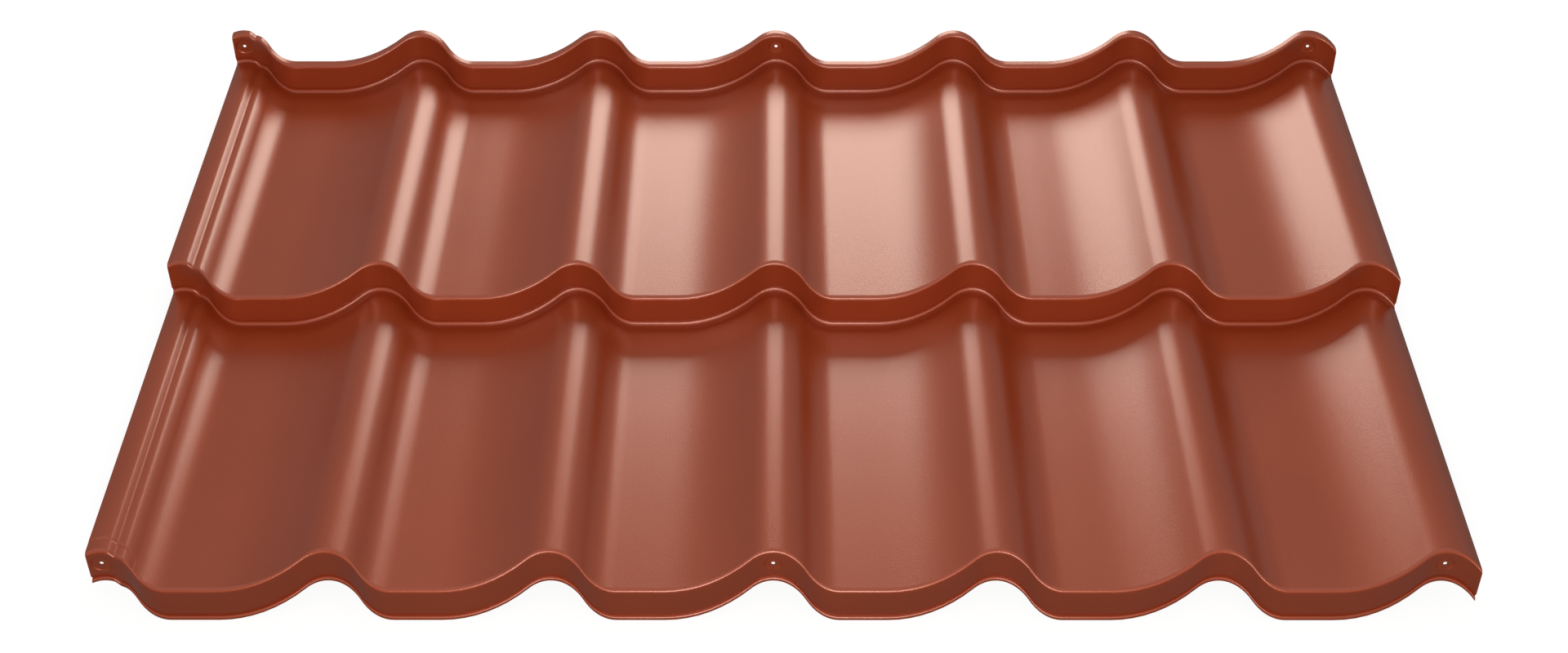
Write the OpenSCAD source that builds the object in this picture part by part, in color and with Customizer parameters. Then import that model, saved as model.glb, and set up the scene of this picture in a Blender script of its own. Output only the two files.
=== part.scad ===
// Metal roof tile sheet: one piece of coated steel sheet, roll formed into
// waves across its width and pressed into two tile steps along its length.
// Lengths are in millimetres and angles in degrees.
// +X runs across the waves, +Y runs up the roof from eave to ridge, +Z is up.
// The sheet lies face up, centred on X and Y, with its lowest feet on Z = 0.

/* [Waves] */
// distance from one wave crest to the next
wave_pitch = 183.33; // [178:0.01:190]
// number of whole waves between the first and the last crest
wave_count = 6; // [6:1:6]
// height of a crest above the flat trough
wave_height = 22.6; // [18:0.1:25]
// radius of the rounded crest
crest_radius = 38.5; // [30:0.5:46]
// steepest slope on the short right-hand flank
steep_angle = 45; // [40:0.5:50]
// steepest slope on the long left-hand flank
gentle_angle = 28.5; // [27:0.5:34]

/* [Tile steps] */
// length of one tile module along the sheet
module_length = 350; // [300:1:400]
// distance the step edge is set back at a crest
step_setback = 23.3; // [16:0.1:28]
// height of the plain riser face down to its foot groove
face_height = 27; // [24:0.5:32]
// radius of the rounded edge between pan and riser
edge_radius = 2.6; // [1.5:0.1:3.5]

/* [Foot groove and ledge] */
// depth of the groove behind the riser face
groove_depth = 2.3; // [1:0.1:3]
// height of the groove, from the face down to its deepest line
groove_height = 5.8; // [4:0.1:8]
// height of the sloping ledge from the groove down to the foot
ledge_height = 3.2; // [2.4:0.1:5]
// distance the foot of the ledge stands out in front of the riser face
foot_out = 0.7; // [0.2:0.1:1.5]

/* [Edges] */
// sheet left of the first crest
left_margin = 11; // [8:0.5:16]
// sheet right of the last crest
right_margin = 27.5; // [20:0.5:34]
// length of the flange behind the rear riser
rear_flange = 9; // [6:0.5:20]
// thickness of the steel sheet
sheet_thickness = 0.5; // [0.4:0.05:0.7]

/* [Side lap groove] */
// depth of the groove beside the first crest
lap_depth = 2.5; // [1:0.1:2.8]
// distance from the first crest to the near edge of that groove
lap_start = 7.3; // [6.5:0.1:8]
// distance from the first crest to the bottom of that groove
lap_bottom = 12.4; // [11.5:0.1:13.5]
// distance from the first crest to the far edge of that groove
lap_end = 19.5; // [18:0.1:21]

/* [Fixing holes] */
// diameter of the pilot holes in the front and rear risers
hole_diameter = 3.2; // [2:0.1:5]
// distance of a front hole under the top of its riser, at the crest
front_hole_drop = 15.8; // [10:0.1:18]
// distance of a rear hole under the top of its riser, at the crest
rear_hole_drop = 15.2; // [10:0.1:18]
// number of waves from one hole to the next
hole_every = 3; // [3:1:3]

/* [Hidden] */

modules = 2;                       // tile modules along the sheet
riser_height = face_height + groove_height + ledge_height;
hole_seat = 3;                     // half width of the flat strip on a crest
coat_red = [0.53, 0.25, 0.17];

// ---- wave section: arcs joined at their steepest slopes -------------------
foot_radius = wave_height / (1 - cos(steep_angle)) - crest_radius;
sweep_radius = wave_height / (1 - cos(gentle_angle)) - crest_radius;
steep_width = (crest_radius + foot_radius) * sin(steep_angle);
gentle_width = (crest_radius + sweep_radius) * sin(gentle_angle);

// depth of a circular arc below its tangent, d from the touching point
function sag(r, d) = r - sqrt(r * r - d * d);

// height of one flank, d from the crest: a convex arc, then a concave one
function flank(d, r, width, angle) =
    d >= width ? 0
    : d > crest_radius * sin(angle) ? sag(r, width - d)
    : wave_height - sag(crest_radius, d);

function wrap(x) = x - wave_pitch * floor(x / wave_pitch);

// height of the wave, x from the first crest
function wave(x) =
    let (d = wrap(x))
    max(flank(d, foot_radius, steep_width, steep_angle),
        flank(wave_pitch - d, sweep_radius, gentle_width, gentle_angle));

// extra drop beside the first crest, where the next sheet laps over
function lap(x) =
    lap_depth * max(0, min((x - lap_start) / (lap_bottom - lap_start),
                           (lap_end - x) / (lap_end - lap_bottom)));

function section_z(x) = wave(x) - lap(x);
function section_y(x) = step_setback * wave(x) / wave_height;

// ---- columns across the sheet ---------------------------------------------
function steps(a, b, n) = [for (k = [0:n]) a + (b - a) * k / n];

// columns of one wave, measured from its crest; the arcs are cut evenly by angle
wave_columns = concat(
    [for (a = steps(asin(hole_seat / crest_radius), steep_angle, 3))
        crest_radius * sin(a)],
    [for (a = steps(steep_angle, 0, 3)) steep_width - foot_radius * sin(a)],
    [for (a = steps(0, gentle_angle, 4))
        wave_pitch - gentle_width + sweep_radius * sin(a)],
    [for (a = steps(gentle_angle, asin(hole_seat / crest_radius), 3))
        wave_pitch - crest_radius * sin(a)]);

lap_columns = [lap_start, lap_bottom, lap_end];
function near_lap(x) = min([for (l = lap_columns) abs(x - l)]) < 1;

left_x = -left_margin;
right_x = wave_count * wave_pitch + right_margin;

function sorted(v) =
    len(v) <= 1 ? v
    : let (m = v[floor(len(v) / 2)])
      concat(sorted([for (a = v) if (a < m) a]), [for (a = v) if (a == m) a],
             sorted([for (a = v) if (a > m) a]));

// the inner columns, none nearer than 1 mm to the one before or to an edge
inner = sorted(concat(lap_columns, [for (k = [-1:wave_count], c = wave_columns)
    let (x = c + k * wave_pitch)
    if (x > left_x + 1 && x < right_x - 1 && !near_lap(x)) x]));
columns = concat([left_x],
    [for (i = [0:len(inner) - 1]) if (i == 0 || inner[i] - inner[i - 1] > 0.8) inner[i]],
    [right_x]);

// ---- stations along the sheet, [y, z] down from the riser's top corner -----
// fall of a pan towards the ridge, from one riser's top to the next one's foot
pan_slope = riser_height / (module_length - foot_out);
edge_angle = atan(pan_slope);

// the rounded edge, from the pan over to the face
function edge_stations() =
    [for (a = steps(0, 90 + edge_angle, 3))
        let (reach = edge_radius * tan(45 + edge_angle / 2))
        [edge_radius - edge_radius * sin(a - edge_angle),
         -reach + edge_radius * cos(a - edge_angle)]];

function foot_stations() = [
    [0, -face_height],
    [groove_depth * 0.55, -face_height - groove_height * 0.45],
    [groove_depth * 0.95, -face_height - groove_height * 0.85],
    [groove_depth, -face_height - groove_height],
    [groove_depth * 0.7, -riser_height + ledge_height * 0.6],
    [-foot_out, -riser_height]];

function riser_at(y) = [for (s = concat(edge_stations(), foot_stations())) [y + s[0], s[1]]];

stations = concat(
    [[modules * module_length + rear_flange, -rear_flange * pan_slope]],
    [for (k = [modules:-1:0], s = riser_at(k * module_length)) s]);

// ---- the sheet's skin ------------------------------------------------------
// slope of a list of [a, b] points at place i, taken over both neighbours
function along(v, i) = v[min(i + 1, len(v) - 1)] - v[max(i - 1, 0)];
function unit(v) = v / norm(v);

section = [for (x = columns) [x, section_y(x), section_z(x)]];
path = [for (s = stations) [0, s[0], s[1]]];

function outer(i, j) = section[i] + path[j];

// sum of the two neighbouring unit steps, so a corner's normal is its bisector
function tangent(v, i) =
    (i == 0 ? [0, 0, 0] : unit(v[i] - v[i - 1]))
    + (i == len(v) - 1 ? [0, 0, 0] : unit(v[i + 1] - v[i]));

// stretch of the offset in a corner, so both faces beside it keep the thickness
function mitre(v, i) =
    i == 0 || i == len(v) - 1 ? 1
    : 1 / max(0.7, sqrt((1 + unit(v[i] - v[i - 1]) * unit(v[i + 1] - v[i])) / 2));

section_tangents = [for (i = [0:len(section) - 1]) unit(tangent(section, i))];
path_tangents = [for (j = [0:len(path) - 1]) unit(tangent(path, j))];
path_mitres = [for (j = [0:len(path) - 1]) mitre(path, j)];

// the sides are cut square to X, so there the offset stays in the plane of the cut
function thickness_step(normal, at_side) =
    at_side ? [0, normal[1], normal[2]] / (1 - normal[0] * normal[0]) : normal;

function inner_skin(i, j) =
    outer(i, j) - sheet_thickness * path_mitres[j]
        * thickness_step(unit(cross(path_tangents[j], section_tangents[i])),
                         i == 0 || i == len(section) - 1);

nc = len(columns);
ns = len(stations);
skin = concat(
    [for (i = [0:nc - 1], j = [0:ns - 1]) outer(i, j)],
    [for (i = [0:nc - 1], j = [0:ns - 1]) inner_skin(i, j)]);

function o(i, j) = i * ns + j;
function n(i, j) = nc * ns + i * ns + j;

skin_faces = concat(
    [for (i = [0:nc - 2], j = [0:ns - 2], f = [
        [o(i, j), o(i + 1, j), o(i + 1, j + 1)],
        [o(i, j), o(i + 1, j + 1), o(i, j + 1)],
        [n(i, j), n(i + 1, j + 1), n(i + 1, j)],
        [n(i, j), n(i, j + 1), n(i + 1, j + 1)]]) f],
    [for (j = [0:ns - 2], f = [
        [o(0, j), o(0, j + 1), n(0, j + 1)],
        [o(0, j), n(0, j + 1), n(0, j)],
        [o(nc - 1, j), n(nc - 1, j + 1), o(nc - 1, j + 1)],
        [o(nc - 1, j), n(nc - 1, j), n(nc - 1, j + 1)]]) f],
    [for (i = [0:nc - 2], f = [
        [o(i, 0), n(i + 1, 0), o(i + 1, 0)],
        [o(i, 0), n(i, 0), n(i + 1, 0)],
        [o(i, ns - 1), o(i + 1, ns - 1), n(i + 1, ns - 1)],
        [o(i, ns - 1), n(i + 1, ns - 1), n(i, ns - 1)]]) f]);

low_z = min([for (p = skin) p[2]]);
low_y = min([for (p = skin) p[1]]);
high_y = max([for (p = skin) p[1]]);
centre = [(left_x + right_x) / 2, (low_y + high_y) / 2, low_z];

module fixing_hole(crest, y, drop) {
    translate([crest * wave_pitch, y + step_setback, wave_height - drop])
        rotate([90, 0, 0])
            cylinder(h = 12, d = hole_diameter, center = true, $fn = 48);
}

module tile_sheet() {
    color(coat_red)
    translate(-centre)
    difference() {
        polyhedron(points = skin, faces = skin_faces, convexity = 12);
        for (k = [0:hole_every:wave_count]) {
            fixing_hole(k, 0, front_hole_drop);
            fixing_hole(k, modules * module_length, rear_hole_drop);
        }
    }
}

tile_sheet();
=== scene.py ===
"""Studio scene of a coated metal roof tile sheet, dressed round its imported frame.

The sheet is one skin, worked out in its own frame in millimetres: x runs across the
waves from the first crest, y runs up the roof from the front riser's face in a
trough, and z is measured from a riser's top corner in a trough. Meshes are given to
Blender in metres, in the frame of the CAD model.
"""

from __future__ import annotations

import logging
import math
from dataclasses import dataclass, field
from enum import Enum

import bpy
import numpy as np
from mathutils import Matrix, Vector

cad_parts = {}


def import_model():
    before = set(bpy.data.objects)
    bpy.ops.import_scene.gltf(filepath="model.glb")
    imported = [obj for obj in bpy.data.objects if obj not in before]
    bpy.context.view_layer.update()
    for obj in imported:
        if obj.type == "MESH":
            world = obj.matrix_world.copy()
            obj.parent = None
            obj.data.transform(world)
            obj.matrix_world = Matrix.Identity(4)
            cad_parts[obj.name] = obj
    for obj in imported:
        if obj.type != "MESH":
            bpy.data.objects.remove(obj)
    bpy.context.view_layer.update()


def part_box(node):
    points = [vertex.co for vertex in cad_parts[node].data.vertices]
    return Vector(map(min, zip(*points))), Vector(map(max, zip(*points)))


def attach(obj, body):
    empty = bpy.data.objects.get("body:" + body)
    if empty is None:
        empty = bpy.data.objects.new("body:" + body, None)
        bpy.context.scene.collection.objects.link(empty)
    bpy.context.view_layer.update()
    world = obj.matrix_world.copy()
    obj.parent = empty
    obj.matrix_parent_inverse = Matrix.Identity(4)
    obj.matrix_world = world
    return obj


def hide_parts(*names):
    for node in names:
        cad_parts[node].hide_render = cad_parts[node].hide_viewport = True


LOG = logging.getLogger("tile_sheet")
MM = 0.001
FLOOR_GAP = 2e-5  # metres that the sheet's lowest point is kept above the CAD box's floor
EDGE_GAP = 0.3  # mm that a mesh column keeps from the sheet's side edges
TWIN_GAP = 0.12  # mm under which an extra mesh column counts as a double
MARK_GAP = 0.15  # mm that a station keeps from the end of an arc
PROBE = 0.02  # mm, the half step over which a seat's slope is measured
SHARP_ANGLE = math.radians(50.0)
TERRACOTTA = (0.42, 0.066, 0.015)
PALE_GREY = (0.33, 0.32, 0.30)


class Coat(Enum):
    """The two sides of the sheet, each with its own finish."""

    FACE = 0
    BACK = 1


def smooth_step(u: np.ndarray) -> np.ndarray:
    """Blend from 0 to 1 with level ends: 3u^2 - 2u^3.

    Args:
        u: Share of the way, held between 0 and 1.

    Returns:
        The blend at each place.
    """
    u = np.clip(u, 0.0, 1.0)
    return u * u * (3.0 - 2.0 * u)


def soft_ramp(u: np.ndarray, ease: float) -> np.ndarray:
    """Ramp that is 0 before zero and u after it, rounded by a hyperbola.

    The formula is (u + sqrt(u^2 + ease^2)) / 2.

    Args:
        u: Distance past the start of the ramp, mm.
        ease: Width of the rounding, mm.

    Returns:
        The height of the ramp at each place.
    """
    return 0.5 * (u + np.sqrt(u * u + ease * ease))


def unit_rows(v: np.ndarray) -> np.ndarray:
    """Scale each vector along the last axis to length one."""
    return v / np.linalg.norm(v, axis=-1, keepdims=True)


def empty_tree(owner: bpy.types.Material | bpy.types.World) -> bpy.types.NodeTree:
    """Turn on the nodes of a material or world, and empty its tree.

    Args:
        owner: The material or world.

    Returns:
        Its node tree, with no node left in it.
    """
    owner.use_nodes = True
    owner.node_tree.nodes.clear()
    return owner.node_tree


def add_node(
    tree: bpy.types.NodeTree, kind: str, **sockets: float | tuple[float, ...]
) -> bpy.types.Node:
    """Add a node and set its input sockets.

    Args:
        tree: The tree that gets the node.
        kind: The node's type, without the leading "ShaderNode".
        **sockets: Values by socket name, with _ in place of a space.

    Returns:
        The new node.
    """
    node = tree.nodes.new("ShaderNode" + kind)
    for name, value in sockets.items():
        node.inputs[name.replace("_", " ")].default_value = value
    return node


@dataclass(frozen=True)
class LapGroove:
    """The pressed groove beside the first crest, where the next sheet laps over."""

    depth: float = 2.7
    start: float = 7.3
    bottom: float = 12.4
    end: float = 19.5
    eases: tuple[float, float, float] = (0.6, 0.55, 0.5)

    def depth_at(self, x: np.ndarray) -> np.ndarray:
        """Depth of the groove: a lopsided triangle made of three rounded ramps.

        The first ramp starts at the groove's near edge and falls by depth over the
        distance to the bottom. The second turns it upwards there, and the third makes
        it level again at the far edge.

        Args:
            x: Distances from the first crest, mm.

        Returns:
            The drop below the plain wave, mm.
        """
        fall = self.depth / (self.bottom - self.start)
        climb = self.depth / (self.end - self.bottom)
        return (
            fall * soft_ramp(x - self.start, self.eases[0])
            - (fall + climb) * soft_ramp(x - self.bottom, self.eases[1])
            + climb * soft_ramp(x - self.end, self.eases[2])
        )

    def columns(self) -> np.ndarray:
        """Places across the sheet that the groove's three breaks need."""
        near = np.linspace(-2.0, 2.0, 9)
        return (np.array([self.start, self.bottom, self.end])[:, None] + near[None, :]).ravel()


@dataclass(frozen=True)
class WaveSection:
    """The cross-section of the sheet: circular arcs joined at their steepest slopes."""

    pitch: float = 183.33
    count: int = 6
    height: float = 22.6
    crest_radius: float = 38.5
    steep_angle: float = math.radians(45.0)
    gentle_angle: float = math.radians(28.5)
    setback: float = 23.3
    left_margin: float = 11.0
    right_margin: float = 27.5
    crest_flat: float = 3.0
    patch_half: float = 10.6
    patch_parts: int = 12
    crest_columns: int = 7
    hollow_columns: int = 10
    trough_columns: int = 4
    sweep_columns: int = 9
    rise_columns: int = 5
    groove: LapGroove = LapGroove()

    @property
    def foot_radius(self) -> float:
        """Radius of the hollow arc at the foot of the steep flank."""
        return self.height / (1.0 - math.cos(self.steep_angle)) - self.crest_radius

    @property
    def sweep_radius(self) -> float:
        """Radius of the hollow arc at the foot of the gentle flank."""
        return self.height / (1.0 - math.cos(self.gentle_angle)) - self.crest_radius

    @property
    def steep_width(self) -> float:
        """Width of the steep flank from the crest to the trough."""
        return (self.crest_radius + self.foot_radius) * math.sin(self.steep_angle)

    @property
    def gentle_width(self) -> float:
        """Width of the gentle flank from the trough to the crest."""
        return (self.crest_radius + self.sweep_radius) * math.sin(self.gentle_angle)

    @property
    def right_edge(self) -> float:
        """Place of the sheet's right edge."""
        return self.count * self.pitch + self.right_margin

    def _flank(self, d: np.ndarray, hollow: float, width: float, angle: float) -> np.ndarray:
        """Height of one flank, d from its crest: a crest arc, then a hollow arc.

        A crest arc of radius R is height - (R - sqrt(R^2 - d^2)). A hollow arc of
        radius H is H - sqrt(H^2 - (width - d)^2). Past the width the height is 0.

        Args:
            d: Distances from the crest, mm.
            hollow: Radius of the hollow arc, mm.
            width: Width of the flank, mm.
            angle: Slope at which the two arcs meet, radians.

        Returns:
            The heights above the trough, mm.
        """
        r = self.crest_radius
        crest = self.height - r + np.sqrt(np.maximum(r * r - d * d, 0.0))
        foot = hollow - np.sqrt(np.maximum(hollow**2 - (width - d) ** 2, 0.0))
        return np.where(d >= width, 0.0, np.where(d > r * math.sin(angle), foot, crest))

    def wave_at(self, x: np.ndarray) -> np.ndarray:
        """Height of the wave above the trough.

        It is the higher of the two flanks at each place, scaled so that the round
        crest ends level with the CAD model's crest strip.

        Args:
            x: Distances from the first crest, mm.

        Returns:
            The heights above the trough, mm.
        """
        d = np.mod(x, self.pitch)
        wave = np.maximum(
            self._flank(d, self.foot_radius, self.steep_width, self.steep_angle),
            self._flank(self.pitch - d, self.sweep_radius, self.gentle_width, self.gentle_angle),
        )
        strip = self.crest_radius - math.sqrt(self.crest_radius**2 - self.crest_flat**2)
        return wave * (1.0 - strip / self.height)

    def height_at(self, x: np.ndarray) -> np.ndarray:
        """Height of the sheet: the wave less the lap groove."""
        return self.wave_at(x) - self.groove.depth_at(x)

    def setback_at(self, x: np.ndarray) -> np.ndarray:
        """How far the step lies back at each place: setback times wave over height."""
        return self.setback * self.wave_at(x) / self.height

    def columns(self, extra: np.ndarray) -> np.ndarray:
        """Places of the mesh columns across the whole sheet.

        Round stretches are cut evenly by angle, as radius times sine. The strip round
        each crest has even columns, so that a screw seat fits into them.

        Args:
            extra: More places, kept where they are not nearly doubled.

        Returns:
            Increasing places from the left edge to the right edge, mm.
        """
        r = self.crest_radius
        half = self.patch_half
        strip = np.linspace(-half, half, self.patch_parts + 1)
        near = math.asin(half / r)
        steep = np.linspace(near, self.steep_angle, self.crest_columns)[1:]
        hollow = np.linspace(self.steep_angle, 0.0, self.hollow_columns)[1:]
        sweep = np.linspace(0.0, self.gentle_angle, self.sweep_columns)[:-1]
        rise = np.linspace(self.gentle_angle, near, self.rise_columns)[:-1]
        climb = self.pitch - self.gentle_width
        wave = np.concatenate(
            [
                strip,
                r * np.sin(steep),
                self.steep_width - self.foot_radius * np.sin(hollow),
                np.linspace(self.steep_width, climb, self.trough_columns)[1:-1],
                climb + self.sweep_radius * np.sin(sweep),
                self.pitch - r * np.sin(rise),
            ]
        )
        firm = (wave[None, :] + self.pitch * np.arange(-1, self.count + 1)[:, None]).ravel()
        left = -self.left_margin
        right = self.right_edge
        firm = firm[(firm > left + EDGE_GAP) & (firm < right - EDGE_GAP)]
        firm = np.concatenate([[left], np.sort(firm), [right]])
        inside = extra[(extra > left + EDGE_GAP) & (extra < right - EDGE_GAP)]
        gap = np.abs(inside[:, None] - firm[None, :]).min(axis=1)
        return np.sort(np.concatenate([firm, inside[gap > TWIN_GAP]]))


@dataclass(frozen=True)
class Corner:
    """A corner of the step profile, with the stations of the straight stretch after it."""

    y: float
    z: float
    radius: float = 0.0
    parts: int = 5
    marks: tuple[float, ...] = ()


@dataclass(frozen=True)
class StepProfile:
    """The profile of the sheet along the roof: pans, rounded edges, risers and grooves."""

    module: float = 350.0
    modules: int = 2
    face: float = 28.5
    riser: float = 36.0
    foot_out: float = 0.7
    edge_radius: float = 3.3
    groove_depth: float = 2.3
    groove_low: float = 32.0
    ledge: float = 3.2
    flange: float = 9.0
    patch_half: float = 10.2
    patch_parts: int = 12
    front_drop: float = 15.8
    rear_drop: float = 15.2
    joggle_reach: float = 14.5
    lip_inset: float = 0.02
    lip_radius: float = 2.3
    crease_radius: float = 0.1
    face_radius: float = 1.4
    groove_radius: float = 1.6
    foot_radius: float = 3.2

    @property
    def slope(self) -> float:
        """Fall of a pan towards the ridge, as a tangent."""
        return self.riser / (self.module - self.foot_out)

    def _face_marks(self, drop: float) -> tuple[float, ...]:
        """Stations of a riser face, even round the middle of a hole.

        Args:
            drop: Distance of the hole under the riser's top, mm.

        Returns:
            Distances up the face from its lower end, mm.
        """
        middle = self.face - drop
        half = self.patch_half
        return tuple(np.linspace(middle - half, middle + half, self.patch_parts + 1))

    def _pan_marks(self) -> tuple[float, ...]:
        """Stations of a pan, close together near its two ends and wide between them.

        Returns:
            Distances along the pan from its riser's top corner, mm.
        """
        near = (3.4, 4.2, 6.0, 10.0, 18.0)
        middle = tuple(np.linspace(30.0, 325.0, 7))
        far = (340.0, 344.5, 347.0, 348.2)
        return near + middle + far

    def _riser(self, y: float, marks: tuple[float, ...], pan: tuple[float, ...]) -> list[Corner]:
        """Corners of a riser from the top of its groove to its top edge."""
        return [
            Corner(y, -self.face, self.face_radius, 3, marks),
            Corner(y, 0.0, self.edge_radius, 7, pan),
        ]

    def _foot(self, k: int) -> list[Corner]:
        """Corners at the foot of a riser, from the end of a pan into the groove.

        Args:
            k: Number of the riser, counted from the front one, which is 0.

        Returns:
            Two corners in order along the sheet.
        """
        y = k * self.module + self.groove_depth
        low = -self.riser - (self.groove_depth + self.foot_out) * self.slope
        return [
            Corner(y, low, self.foot_radius, 7),
            Corner(y, -self.groove_low, self.groove_radius, 3),
        ]

    def _lip(self) -> list[Corner]:
        """Corners of the front lip: a rounded bead, then a crease into the groove.

        Returns:
            Three corners in order along the sheet.
        """
        y = self.lip_inset - self.foot_out
        top = self.ledge - self.riser
        return [
            Corner(y, -self.riser),
            Corner(y, top, self.lip_radius, 8),
            Corner(self.groove_depth, top, self.crease_radius, 2),
        ]

    def corners(self) -> list[Corner]:
        """Corners of the whole profile, from the front lip to the rear flange.

        Returns:
            Corners in order, with the stations of the stretch after each.
        """
        rear = self.modules * self.module
        joggle = tuple(self.joggle_reach + np.linspace(-0.25, 0.25, 9))
        front_pan = tuple(sorted(self._pan_marks() + joggle))
        middle_face = tuple(np.linspace(3.0, self.face - 4.5, 5))
        flange = (3.6, 5.0, 7.0)
        return [
            *self._lip(),
            *self._riser(0.0, self._face_marks(self.front_drop), front_pan),
            *self._foot(1),
            *self._riser(self.module, middle_face, self._pan_marks()),
            *self._foot(self.modules),
            *self._riser(rear, self._face_marks(self.rear_drop), flange),
            Corner(rear + self.flange, -self.flange * self.slope),
        ]

    @staticmethod
    def _rounded(
        last: np.ndarray, here: np.ndarray, then: np.ndarray, corner: Corner
    ) -> tuple[np.ndarray, float]:
        """Round one corner with an arc that touches both of its stretches.

        The arc touches them at reach = radius * tan(turn / 2) from the corner. Its
        points are the centre plus the radius times a normal that turns along the arc.

        Args:
            last: The corner before, as [y, z].
            here: The corner itself.
            then: The corner after.
            corner: Its radius, and how many parts its arc has.

        Returns:
            The points of the arc, and its reach along each stretch, mm.
        """
        a = unit_rows(here - last)
        b = unit_rows(then - here)
        turn = math.atan2(a[0] * b[1] - a[1] * b[0], float(a @ b))
        reach = corner.radius * math.tan(abs(turn) / 2.0)
        normal = math.copysign(1.0, turn) * np.array([-a[1], a[0]])
        centre = here - a * reach + normal * corner.radius
        angles = np.linspace(0.0, turn, corner.parts + 1)
        spoke_y = normal[1] * np.sin(angles) - normal[0] * np.cos(angles)
        spoke_z = -normal[0] * np.sin(angles) - normal[1] * np.cos(angles)
        return centre + corner.radius * np.stack([spoke_y, spoke_z], axis=1), reach

    def stations(self) -> np.ndarray:
        """Points [y, z] of the profile, each corner rounded by its own arc.

        Returns:
            An array of [y, z] rows in order along the sheet, mm.

        Raises:
            ValueError: Two neighbouring arcs need more room than lies between them,
                which would fold the sheet back through itself.
        """
        chain = self.corners()
        spots = np.array([[corner.y, corner.z] for corner in chain])
        rows = [spots[:1]]
        reach = np.zeros(len(chain))
        for k in range(1, len(chain) - 1):
            arc, reach[k] = self._rounded(spots[k - 1], spots[k], spots[k + 1], chain[k])
            marks = np.array([m for m in chain[k].marks if m > reach[k] + MARK_GAP])
            rows.append(arc)
            rows.append(spots[k] + marks[:, None] * unit_rows(spots[k + 1] - spots[k]))
        rows.append(spots[-1:])
        room = np.linalg.norm(np.diff(spots, axis=0), axis=1)
        need = reach[:-1] + reach[1:]
        if np.any(need > room):
            k = int(np.argmax(need - room))
            raise ValueError(f"stretch {k} is {room[k]:.2f} mm and its arcs need {need[k]:.2f} mm")
        return np.concatenate(rows)


@dataclass(frozen=True)
class ScrewSeat:
    """A round flat seat pressed into a riser, with a screw hole in its middle."""

    crest: int
    riser_y: float
    drop: float
    radius: float = 6.2
    rim: float = 1.5
    depth: float = 0.65
    lean: float = 0.08
    hole_radius: float = 1.6
    margin: float = 0.15
    shoulder: float = 0.3
    disc_rings: tuple[float, ...] = (5.2, 3.2, 2.1, 1.75)

    def surface(self, section: WaveSection, x: np.ndarray, z: np.ndarray) -> np.ndarray:
        """Place y of the riser's face with the seat pressed in.

        The face follows the wave's setback. Inside the seat it is a flat disc, depth
        behind the face at the crest, which leans back by lean times its height, and a
        smooth step across the rim joins the two.

        Args:
            section: The wave section that the face follows.
            x: Places across the sheet, mm.
            z: Heights, mm.

        Returns:
            The y of the outer surface, mm.
        """
        x0, z0 = self.centre(section)
        face = self.riser_y + section.setback_at(x)
        crest = self.riser_y + float(section.setback_at(np.array(x0)))
        flat = crest + self.depth + self.lean * (z - z0)
        rho = np.hypot(x - x0, z - z0)
        weight = smooth_step((self.radius + self.rim - rho) / self.rim)
        return face + weight * (flat - face)

    def centre(self, section: WaveSection) -> tuple[float, float]:
        """Middle of the hole, as x and z."""
        return self.crest * section.pitch, section.height - self.drop

    def circles(self) -> np.ndarray:
        """Radii of the round mesh rings, from outside the rim to the hole."""
        outside = self.radius + self.rim
        return np.concatenate(
            [
                [outside + self.margin],
                np.linspace(outside, self.radius, 6),
                [self.radius - self.shoulder, *self.disc_rings, self.hole_radius],
            ]
        )


@dataclass
class SkinMesh:
    """Vertices and four-sided faces gathered for the sheet, with each face's coat."""

    points: list[np.ndarray] = field(default_factory=list)
    faces: list[np.ndarray] = field(default_factory=list)
    coats: list[np.ndarray] = field(default_factory=list)
    total: int = 0

    def add_points(self, points: np.ndarray) -> int:
        """Append points.

        Args:
            points: Points of any grid shape, with x, y and z last.

        Returns:
            The index of the first one.
        """
        start = self.total
        self.points.append(points.reshape(-1, 3))
        self.total += self.points[-1].shape[0]
        return start

    def add_faces(self, faces: np.ndarray, coat: Coat) -> None:
        """Append faces of four corners each.

        Args:
            faces: Vertex numbers of any grid shape, with the four corners last.
            coat: The coat that all of them have.
        """
        faces = faces.reshape(-1, 4)
        self.faces.append(faces)
        self.coats.append(np.full(len(faces), coat.value, dtype=np.int32))

    def finish(self) -> tuple[np.ndarray, np.ndarray, np.ndarray]:
        """Join the arrays and leave out points that no face uses.

        Returns:
            Points, faces and a coat number per face.
        """
        points = np.concatenate(self.points)
        faces = np.concatenate(self.faces)
        used = np.unique(faces)
        place = np.full(len(points), -1, dtype=np.int64)
        place[used] = np.arange(len(used))
        return points[used], place[faces], np.concatenate(self.coats)


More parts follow.
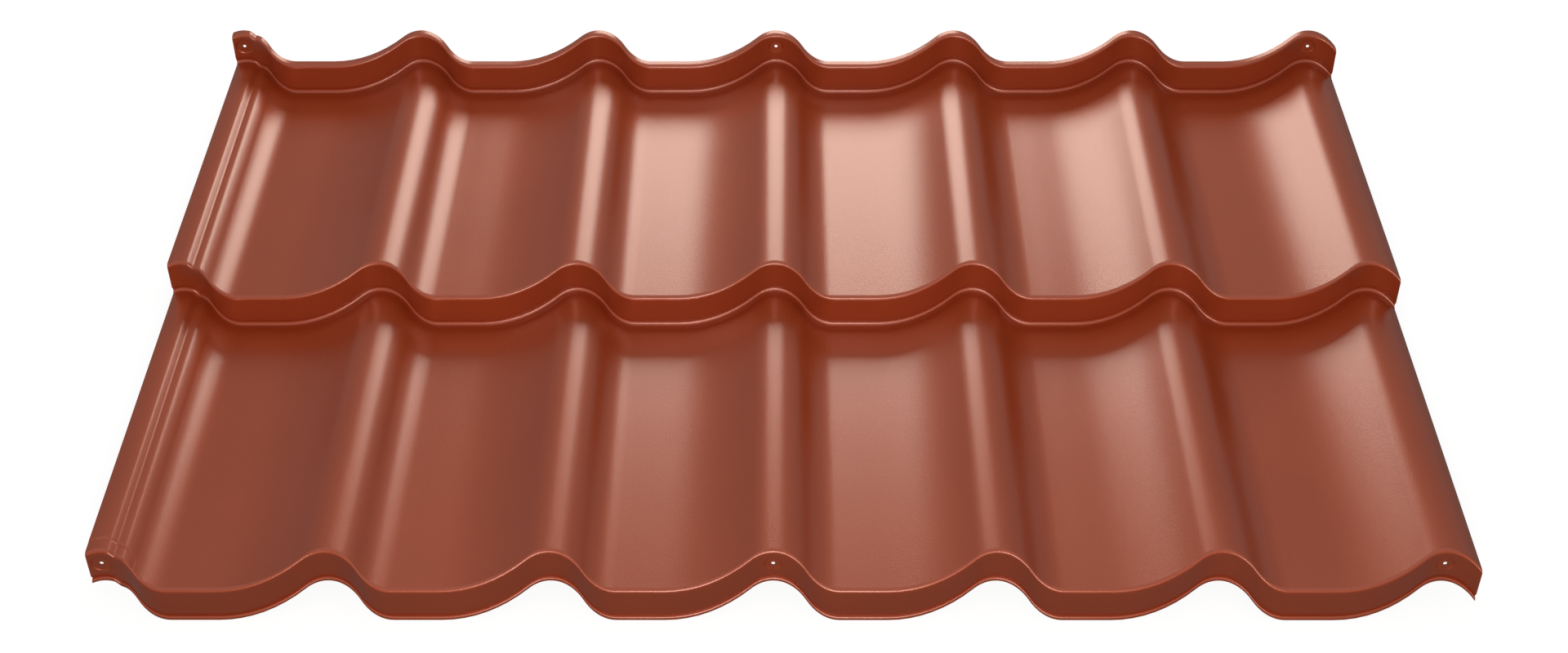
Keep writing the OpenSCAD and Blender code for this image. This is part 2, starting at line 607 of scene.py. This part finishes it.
@dataclass
class TileSheet:
    """The whole formed sheet: an outer and an inner skin, its edges and screw seats."""

    section: WaveSection = WaveSection()
    profile: StepProfile = StepProfile()
    thickness: float = 0.5
    hole_every: int = 3
    joggle_width: float = 28.0
    joggle_drop: float = 0.4
    joggle_side: float = 2.0
    joggle_end: float = 0.4
    joggle_fade: float = 8.0
    joggle_fade_end: float = -26.0

    def seats(self) -> list[ScrewSeat]:
        """List the screw seats of the front and rear risers.

        Returns:
            Six seats. The two on the left edge are wider and upright.
        """
        rear = self.profile.modules * self.profile.module
        made = []
        for y, drop in ((0.0, self.profile.front_drop), (rear, self.profile.rear_drop)):
            made.append(ScrewSeat(0, y, drop, radius=7.6, rim=1.6, depth=0.6, lean=0.0))
            made.append(ScrewSeat(self.hole_every, y, drop))
            made.append(ScrewSeat(2 * self.hole_every, y, drop))
        return made

    def _outer(self, x: np.ndarray, path: np.ndarray) -> np.ndarray:
        """Outer skin: the section carried along the profile.

        A point is x, setback(x) + path y, height(x) + path z.

        Args:
            x: Columns across the sheet, mm.
            path: Stations [y, z] along it, mm.

        Returns:
            An array of points, columns by stations.
        """
        y = self.section.setback_at(x)[:, None] + path[None, :, 0]
        z = self.section.height_at(x)[:, None] + path[None, :, 1]
        return np.stack([np.broadcast_to(x[:, None], z.shape), y, z], axis=-1)

    def _joggle(self, x: np.ndarray, path: np.ndarray) -> np.ndarray:
        """Downward move of the pressed front left corner, the same for both skins.

        It is the drop times three smooth steps: one ends it across the sheet, one
        ends it along the pan, and one lets it fade down the riser. The step along the
        pan is tighter than the sheet is thick, so it can't be offset along normals.

        Args:
            x: Columns across the sheet, mm.
            path: Stations [y, z] along it, mm.

        Returns:
            Moves to add to the points, columns by stations.
        """
        across = smooth_step((self.joggle_width - x) / self.joggle_side + 0.5)[:, None]
        along = smooth_step((self.profile.joggle_reach - path[:, 0]) / self.joggle_end + 0.5)[None, :]
        low = smooth_step((path[:, 1] - self.joggle_fade_end) / self.joggle_fade)[None, :]
        down = np.array([0.0, 0.0, -self.joggle_drop])
        return (across * along * low)[..., None] * down

    def _inner(self, outer: np.ndarray) -> np.ndarray:
        """Inner skin: the outer one moved in by the thickness along its normals.

        A normal is the cross product of the two bisecting tangents. In a corner the
        step is stretched by one over the cosine of half the turn, at most to one over
        least_cosine. At the two side edges it is the normal's part in the plane of
        the cut, divided by the square of that part's length, which is 1 - nx^2.

        Args:
            outer: Points, columns by stations.

        Returns:
            The inner points, of the same shape.
        """
        across = unit_rows(np.diff(outer, axis=0))
        along = unit_rows(np.diff(outer, axis=1))
        tx = unit_rows(np.concatenate([across[:1], across[:-1] + across[1:], across[-1:]], axis=0))
        between = along[:, :-1] + along[:, 1:]
        ts = unit_rows(np.concatenate([along[:, :1], between, along[:, -1:]], axis=1))
        normal = unit_rows(np.cross(tx, ts))
        least_cosine = 0.7
        least_flat = 0.25
        cosine = np.ones(outer.shape[:2])
        cosine[:, 1:-1] = np.sqrt((1.0 + (along[:, :-1] * along[:, 1:]).sum(-1)) / 2.0)
        step = normal / np.maximum(cosine, least_cosine)[..., None]
        for edge in (0, -1):
            flat = normal[edge].copy()
            flat[:, 0] = 0.0
            step[edge] = flat / np.maximum(1.0 - normal[edge][:, :1] ** 2, least_flat)
        return outer - self.thickness * step

    def _patch(self, mesh: SkinMesh, seat: ScrewSeat, loop: np.ndarray, outer: np.ndarray) -> None:
        """Fill the opening left for a seat with rings that end in the screw hole.

        Ring points lie on circles at the angles of the opening's own vertices, with
        two rings blended between the opening and the first circle. The inner skin's
        rings lie straight behind the outer ones in y, by the thickness times the y
        part of the pressed face's normal, 1 / sqrt(1 + slope_x^2 + slope_z^2).

        Args:
            mesh: The mesh being gathered.
            seat: The seat to make.
            loop: Indices of the opening's vertices on the outer and the inner skin.
            outer: The outer points of the opening, in the same order.
        """
        x0, z0 = seat.centre(self.section)
        angle = np.arctan2(outer[:, 2] - z0, outer[:, 0] - x0)
        ring = np.stack([np.cos(angle), np.sin(angle)], axis=1)
        circles = seat.circles()[:, None, None] * ring[None] + np.array([x0, z0])
        edge = outer[:, [0, 2]]
        blends = np.array([1 / 3, 2 / 3])[:, None, None]
        flat = np.concatenate([edge + blends * (circles[0] - edge), circles])
        x = flat[..., 0]
        z = flat[..., 1]
        y = seat.surface(self.section, x, z)
        rise_x = seat.surface(self.section, x + PROBE, z) - seat.surface(self.section, x - PROBE, z)
        rise_z = seat.surface(self.section, x, z + PROBE) - seat.surface(self.section, x, z - PROBE)
        slope = np.hypot(rise_x, rise_z) / (2.0 * PROBE)
        behind = y + self.thickness / np.sqrt(1.0 + slope**2)
        rings, n = x.shape
        starts = [mesh.add_points(np.stack([x, side, z], axis=-1)) for side in (y, behind)]
        turn = np.roll(np.arange(n), -1)
        grids = [
            np.concatenate([loop[k][None, :], start + np.arange(rings * n).reshape(rings, n)])
            for k, start in enumerate(starts)
        ]
        for k, (grid, coat) in enumerate(zip(grids, (Coat.FACE, Coat.BACK))):
            a = grid[:-1]
            b = grid[1:]
            quads = np.stack([a, a[:, turn], b[:, turn], b], axis=-1)
            mesh.add_faces(quads if k == 0 else quads[..., ::-1], coat)
        top = grids[0][-1]
        bottom = grids[1][-1]
        mesh.add_faces(np.stack([top, top[turn], bottom[turn], bottom], axis=-1), Coat.FACE)

    def build(self) -> tuple[np.ndarray, np.ndarray, np.ndarray]:
        """Work out the sheet's points, faces and coats.

        Returns:
            Points in mm in the sheet's own frame, faces, and a coat number per face.
        """
        joggle = self.joggle_width + np.linspace(-1.2, 1.2, 9)
        columns = self.section.columns(np.concatenate([self.section.groove.columns(), joggle]))
        path = self.profile.stations()
        plain = self._outer(columns, path)
        joggled = self._joggle(columns, path)
        outer = plain + joggled
        inner = self._inner(plain) + joggled
        nc, ns = outer.shape[:2]
        mesh = SkinMesh()
        mesh.add_points(outer)
        mesh.add_points(inner)
        index = np.arange(nc * ns).reshape(nc, ns)
        keep = np.ones((nc - 1, ns - 1), dtype=bool)
        for seat in self.seats():
            loop = self._opening(seat, columns, path, index, keep)
            points = outer.reshape(-1, 3)[loop]
            self._patch(mesh, seat, np.stack([loop, loop + nc * ns]), points)
        cells = [index[:-1, :-1], index[1:, :-1], index[1:, 1:], index[:-1, 1:]]
        quads = np.stack(cells, axis=-1)[keep]
        mesh.add_faces(quads, Coat.FACE)
        mesh.add_faces(quads[:, ::-1] + nc * ns, Coat.BACK)
        borders = (
            (index[0], False),
            (index[-1], True),
            (index[:, 0], True),
            (index[:, -1], False),
        )
        for side, flip in borders:
            band = np.stack([side[:-1], side[1:], side[1:] + nc * ns, side[:-1] + nc * ns], axis=-1)
            mesh.add_faces(band[:, ::-1] if flip else band, Coat.FACE)
        return mesh.finish()

    def _opening(
        self, seat: ScrewSeat, columns: np.ndarray, path: np.ndarray, index: np.ndarray, keep: np.ndarray
    ) -> np.ndarray:
        """Take a seat's square out of the grid and give the vertices round it.

        Args:
            seat: The seat that needs the opening.
            columns: Columns across the sheet, mm.
            path: Stations [y, z] along it, mm.
            index: Vertex numbers, columns by stations.
            keep: Which grid faces stay; the square's faces are cleared here.

        Returns:
            The vertex numbers round the opening, counter-clockwise from in front.
        """
        half = self.section.patch_half
        tall = self.profile.patch_half
        x0 = seat.crest * self.section.pitch
        i0 = int(np.argmin(np.abs(columns - (x0 - half))))
        i1 = int(np.argmin(np.abs(columns - (x0 + half))))
        on_face = np.abs(path[:, 0] - seat.riser_y) < 1e-6
        depth = np.where(on_face, path[:, 1], np.inf)
        j0 = int(np.argmin(np.abs(depth + seat.drop + tall)))
        j1 = int(np.argmin(np.abs(depth + seat.drop - tall)))
        keep[i0:i1, j0:j1] = False
        return np.concatenate(
            [index[i0:i1, j0], index[i1, j0:j1], index[i1:i0:-1, j1], index[i0, j1:j0:-1]]
        )

    def dress(self, finishes: dict[Coat, bpy.types.Material]) -> bpy.types.Object:
        """Make the Blender object in the CAD frame, with both coats.

        The sheet's box is centred on the CAD box across and along the roof, and its
        lowest points lie level with the CAD model's.

        Args:
            finishes: The material of each coat.

        Returns:
            The finished piece, which replaces the CAD node.
        """
        points, faces, coats = self.build()
        low, high = (np.array(v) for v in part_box("tile_sheet"))
        points = points * MM
        middle = (points.min(0) + points.max(0)) / 2.0
        shift = (low + high) / 2.0 - middle
        shift[2] = low[2] - points[:, 2].min() + FLOOR_GAP
        points = points + shift
        data = bpy.data.meshes.new("tile_sheet_skin")
        data.from_pydata(points.tolist(), [], faces.tolist())
        for coat in Coat:
            data.materials.append(finishes[coat])
        data.polygons.foreach_set("material_index", coats)
        data.polygons.foreach_set("use_smooth", np.ones(len(faces), dtype=bool))
        data.update()
        sheet = bpy.data.objects.new("tile_sheet_skin", data)
        bpy.context.scene.collection.objects.link(sheet)
        data.set_sharp_from_angle(angle=SHARP_ANGLE)
        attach(sheet, "root")
        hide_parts("tile_sheet")
        LOG.info("tile_sheet_skin: %d points, %d faces", len(points), len(faces))
        return sheet


@dataclass(frozen=True)
class SteelCoat:
    """A textured coil coating: satin, with a fine wrinkle that catches the light."""

    name: str
    color: tuple[float, float, float]
    roughness: float = 0.52
    roughness_change: float = 0.02
    metal: float = 0.45
    varnish: float = 0.9
    varnish_roughness: float = 0.28
    varnish_ior: float = 1.7
    grain_scale: float = 700.0
    grain_height: float = 0.0001
    grain_strength: float = 1.0
    grain_share: float = 0.6
    drift_scale: float = 9.0
    tone_low: float = 0.4
    tone_high: float = 1.2
    tone_change: float = 0.06

    def _tone(
        self, tree: bpy.types.NodeTree, grain: bpy.types.Node, drift: bpy.types.Node
    ) -> bpy.types.NodeSocket:
        """Colour of the coat, made lighter and darker by both noises.

        The tone is grain * grain_share + drift. Between tone_low and tone_high it
        scales the colour by 1 - tone_change to 1 + tone_change.

        Args:
            tree: The material's tree.
            grain: The fine noise.
            drift: The wide noise.

        Returns:
            The socket that carries the colour.
        """
        tone = add_node(tree, "Math")
        tone.operation = "MULTIPLY_ADD"
        tone.inputs[1].default_value = self.grain_share
        tree.links.new(grain.outputs["Fac"], tone.inputs[0])
        tree.links.new(drift.outputs["Fac"], tone.inputs[2])
        shade = add_node(
            tree,
            "MapRange",
            From_Min=self.tone_low,
            From_Max=self.tone_high,
            To_Min=1.0 - self.tone_change,
            To_Max=1.0 + self.tone_change,
        )
        tree.links.new(tone.outputs["Value"], shade.inputs["Value"])
        color = add_node(tree, "VectorMath")
        color.operation = "SCALE"
        color.inputs[0].default_value = self.color
        tree.links.new(shade.outputs["Result"], color.inputs["Scale"])
        return color.outputs["Vector"]

    def material(self) -> bpy.types.Material:
        """Build the node material.

        The grain is one noise in object space, read twice: as a bump and as a small
        change of tone. A wide slow noise changes tone and gloss very slightly.

        Returns:
            The finished material.
        """
        material = bpy.data.materials.new(self.name)
        tree = empty_tree(material)
        link = tree.links.new
        out = add_node(tree, "OutputMaterial")
        shader = add_node(
            tree,
            "BsdfPrincipled",
            Metallic=self.metal,
            Specular_IOR_Level=0.0,
            Coat_Weight=self.varnish,
            Coat_Roughness=self.varnish_roughness,
            Coat_IOR=self.varnish_ior,
        )
        link(shader.outputs["BSDF"], out.inputs["Surface"])

        place = add_node(tree, "TexCoord")
        grain = add_node(tree, "TexNoise", Scale=self.grain_scale, Detail=2.0, Roughness=0.6)
        drift = add_node(tree, "TexNoise", Scale=self.drift_scale, Detail=3.0)
        link(place.outputs["Object"], grain.inputs["Vector"])
        link(place.outputs["Object"], drift.inputs["Vector"])
        link(self._tone(tree, grain, drift), shader.inputs["Base Color"])

        gloss = add_node(
            tree,
            "MapRange",
            From_Min=0.3,
            From_Max=0.7,
            To_Min=self.roughness - self.roughness_change,
            To_Max=self.roughness + self.roughness_change,
        )
        link(drift.outputs["Fac"], gloss.inputs["Value"])
        link(gloss.outputs["Result"], shader.inputs["Roughness"])

        bump = add_node(tree, "Bump", Strength=self.grain_strength, Distance=self.grain_height)
        link(grain.outputs["Fac"], bump.inputs["Height"])
        link(bump.outputs["Normal"], shader.inputs["Normal"])
        link(bump.outputs["Normal"], shader.inputs["Coat Normal"])
        return material


@dataclass(frozen=True)
class PaleFloor:
    """A plain white floor that shows white to the camera and keeps the shadow."""

    half_size: float = 12.0
    body: float = 0.18
    lift: float = 0.91
    gloss_lift: float = 0.08

    def build(self) -> bpy.types.Object:
        """Make the floor plane.

        Returns:
            The floor, level at the height of the sheet's feet.
        """
        s = self.half_size
        data = bpy.data.meshes.new("floor")
        data.from_pydata([(-s, -s, 0), (s, -s, 0), (s, s, 0), (-s, s, 0)], [], [(0, 1, 2, 3)])
        data.materials.append(self._material())
        floor = bpy.data.objects.new("floor", data)
        bpy.context.scene.collection.objects.link(floor)
        return floor

    def _material(self) -> bpy.types.Material:
        """Pale diffuse with white light added, fully for camera and see-through rays.

        The light's strength is lift for those rays, plus gloss_lift for glossy rays.

        Returns:
            The floor's material.
        """
        material = bpy.data.materials.new("pale_floor")
        tree = empty_tree(material)
        link = tree.links.new
        out = add_node(tree, "OutputMaterial")
        both = add_node(tree, "AddShader")
        matt = add_node(tree, "BsdfDiffuse", Color=(self.body, self.body, self.body, 1.0))
        glow = add_node(tree, "Emission")
        path = add_node(tree, "LightPath")
        seen = add_node(tree, "Math")
        seen.operation = "MAXIMUM"
        link(path.outputs["Is Camera Ray"], seen.inputs[0])
        link(path.outputs["Is Transmission Ray"], seen.inputs[1])
        gloss = add_node(tree, "Math")
        gloss.operation = "MULTIPLY"
        gloss.inputs[1].default_value = self.gloss_lift
        link(path.outputs["Is Glossy Ray"], gloss.inputs[0])
        share = add_node(tree, "Math")
        share.operation = "MULTIPLY_ADD"
        share.inputs[1].default_value = self.lift
        link(seen.outputs["Value"], share.inputs[0])
        link(gloss.outputs["Value"], share.inputs[2])
        link(share.outputs["Value"], glow.inputs["Strength"])
        link(matt.outputs["BSDF"], both.inputs[0])
        link(glow.outputs["Emission"], both.inputs[1])
        link(both.outputs["Shader"], out.inputs["Surface"])
        return material


@dataclass(frozen=True)
class SoftBox:
    """A rectangular soft lamp, aimed at a point."""

    name: str
    place: tuple[float, float, float]
    aim: tuple[float, float, float]
    width: float
    height: float
    radiance: float
    tint: tuple[float, float, float] = (1.0, 1.0, 1.0)

    def build(self) -> bpy.types.Object:
        """Make the area lamp, with its -Z towards the aim.

        Its power is radiance * pi * width * height.

        Returns:
            The lamp, which the camera doesn't see.
        """
        lamp = bpy.data.lights.new(self.name, "AREA")
        lamp.shape = "RECTANGLE"
        lamp.size = self.width
        lamp.size_y = self.height
        lamp.energy = self.radiance * math.pi * self.width * self.height
        lamp.color = self.tint
        made = bpy.data.objects.new(self.name, lamp)
        made.location = self.place
        ray = Vector(self.aim) - Vector(self.place)
        made.rotation_euler = ray.to_track_quat("-Z", "Y").to_euler()
        made.visible_camera = False
        bpy.context.scene.collection.objects.link(made)
        return made


@dataclass(frozen=True)
class Studio:
    """Floor, soft lamps, world and camera."""

    lens: float = 55.398
    sensor: float = 36.0
    far_end: float = 60.0
    tilt: float = 41.7365
    swing: float = 0.0688
    roll: float = -0.0361
    place: tuple[float, float, float] = (0.0023, -1.64245, 1.55285)
    shift_y: float = -0.0521
    world_strength: float = 0.32
    world_gloss: float = 0.4
    floor: PaleFloor = PaleFloor()

    def camera(self) -> bpy.types.Object:
        """Make the camera, looking down over the front edge along the roof.

        It is rolled about its own axis first, then tipped up, then swung about Z.

        Returns:
            The scene's camera.
        """
        lens = bpy.data.cameras.new("camera")
        lens.lens = self.lens
        lens.sensor_width = self.sensor
        lens.shift_y = self.shift_y
        lens.clip_end = self.far_end
        made = bpy.data.objects.new("camera", lens)
        turn = (
            Matrix.Rotation(math.radians(self.swing), 4, "Z")
            @ Matrix.Rotation(math.radians(90.0 - self.tilt), 4, "X")
            @ Matrix.Rotation(math.radians(self.roll), 4, "Z")
        )
        made.matrix_world = Matrix.Translation(self.place) @ turn
        bpy.context.scene.collection.objects.link(made)
        bpy.context.scene.camera = made
        return made

    def world(self) -> bpy.types.World:
        """Even grey light all round, seen as white by the camera.

        Its strength is world_strength for most rays, world_gloss for glossy rays and
        1 for camera rays.

        Returns:
            The scene's world.
        """
        world = bpy.data.worlds.new("studio")
        tree = empty_tree(world)
        link = tree.links.new
        out = add_node(tree, "OutputWorld")
        back = add_node(tree, "Background")
        path = add_node(tree, "LightPath")
        gloss = add_node(tree, "MapRange", To_Min=self.world_strength, To_Max=self.world_gloss)
        link(path.outputs["Is Glossy Ray"], gloss.inputs["Value"])
        level = add_node(tree, "MapRange", To_Max=1.0)
        link(gloss.outputs["Result"], level.inputs["To Min"])
        link(path.outputs["Is Camera Ray"], level.inputs["Value"])
        link(level.outputs["Result"], back.inputs["Strength"])
        link(back.outputs["Background"], out.inputs["Surface"])
        bpy.context.scene.world = world
        return world

    def lamps(self) -> list[SoftBox]:
        """List the lamps: one behind the sheet, one in front and a wide ceiling fill.

        Returns:
            Three soft boxes.
        """
        return [
            SoftBox(
                name="soft_box_rear",
                place=(0.005, 1.54, 0.675),
                aim=(0.0, 0.0, 0.0),
                width=0.75,
                height=0.64,
                radiance=4.9,
                tint=(0.93, 0.98, 0.87),
            ),
            SoftBox(
                name="soft_box_front",
                place=(0.0, -2.3, 1.1),
                aim=(0.0, 0.0, 0.0),
                width=0.38,
                height=0.75,
                radiance=25.0,
                tint=(1.0, 0.88, 0.77),
            ),
            SoftBox(
                name="soft_box_top",
                place=(0.0, 0.1, 2.4),
                aim=(0.0, 0.1, 0.0),
                width=4.0,
                height=4.0,
                radiance=0.4,
            ),
        ]

    def build(self) -> None:
        """Build the whole studio."""
        self.camera()
        self.world()
        self.floor.build()
        for lamp in self.lamps():
            lamp.build()
        bpy.context.scene.view_settings.view_transform = "Standard"
        LOG.info("studio: camera, floor, world and %d lamps", len(self.lamps()))


def main() -> None:
    """Load the frame, dress the sheet and light it."""
    logging.basicConfig(level=logging.INFO, format="%(name)s %(message)s")
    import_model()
    Studio().build()
    finishes = {
        Coat.FACE: SteelCoat("terracotta_coat", TERRACOTTA).material(),
        Coat.BACK: SteelCoat(
            "grey_back_coat",
            PALE_GREY,
            metal=0.0,
            varnish=0.2,
            grain_strength=0.2,
        ).material(),
    }
    TileSheet().dress(finishes)


if __name__ == "__main__":
    main()
